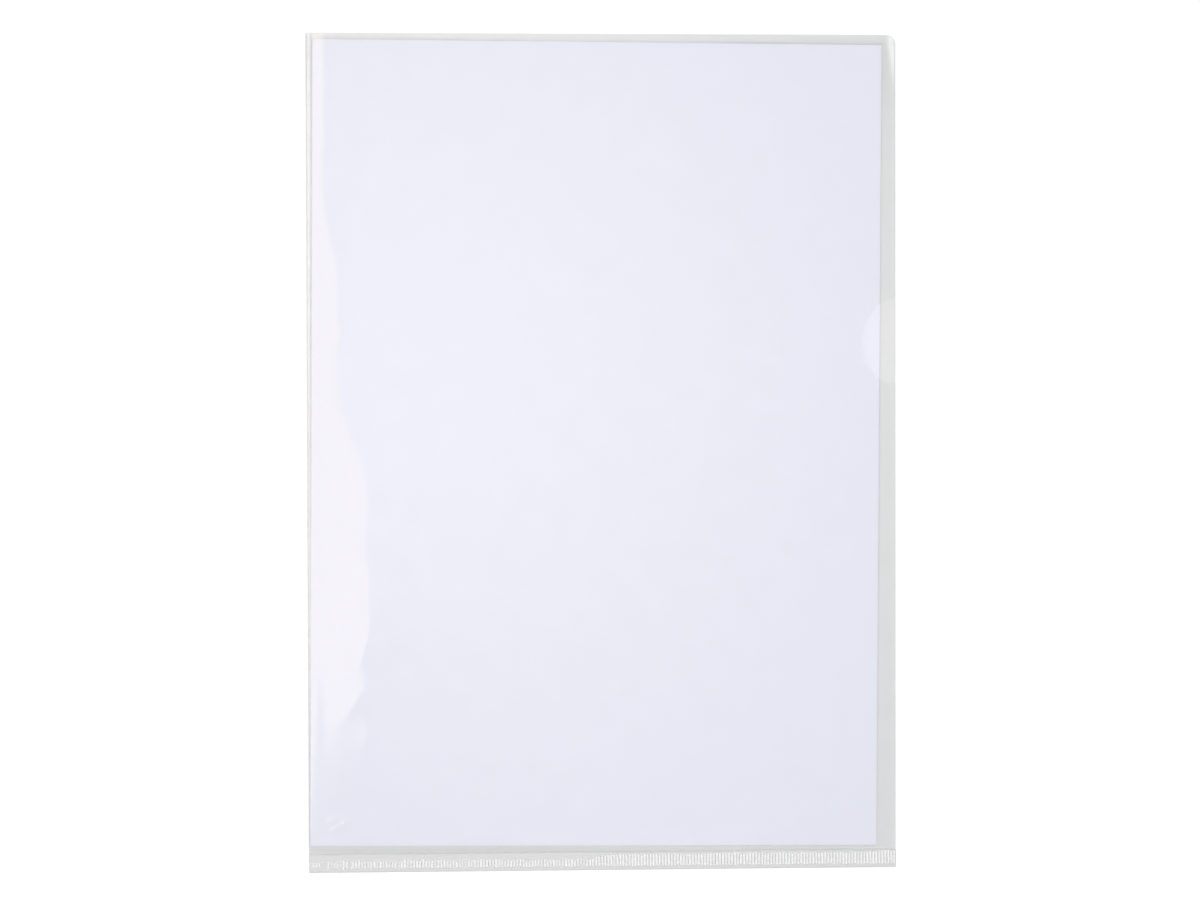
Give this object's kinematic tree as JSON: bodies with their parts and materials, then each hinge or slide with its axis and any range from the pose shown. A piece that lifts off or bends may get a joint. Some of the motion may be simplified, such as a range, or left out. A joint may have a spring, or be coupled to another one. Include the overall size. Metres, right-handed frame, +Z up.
{
  "type": "clear plastic document folder",
  "caption": "Flat folder of clear film, folded on one side and rib-welded along the bottom, with a thumb notch and a rounded free corner, holding a sheet of white A4 paper.",
  "frame": {"origin": "middle of the folder's footprint, on the surface that it lies on", "axes": "+X across the page to the open side, +Y up the page to the open top, +Z up through the stack from the back sheet to the front sheet"},
  "size_m": [0.2178, 0.309, 0.0011],
  "materials": {
    "clear_film": "gloss",
    "welded_film": "satin",
    "white_paper": "matte"
  },
  "bodies": {
    "folder": {"back_panel": "clear_film", "spine_fold": "clear_film", "bottom_weld": "welded_film", "seam_shoulder": "clear_film", "front_panel": "clear_film"},
    "corner": {"front_flap": "clear_film"},
    "sheet": {"paper_sheet": "white_paper"}
  },
  "joints": [
    {"name": "corner_lift", "type": "hinge", "parent": "folder", "child": "corner", "pos_m": [0.00517, 0.00918, 0.001], "axis": [0.579, -0.8153, 0], "range_deg": [0, 50], "stiffness_Nm_per_rad": 0.004},
    {"name": "sheet_slide", "type": "slide", "parent": "folder", "child": "sheet", "axis": [1, 0, 0], "range_m": [0, 0.22]}
  ]
}
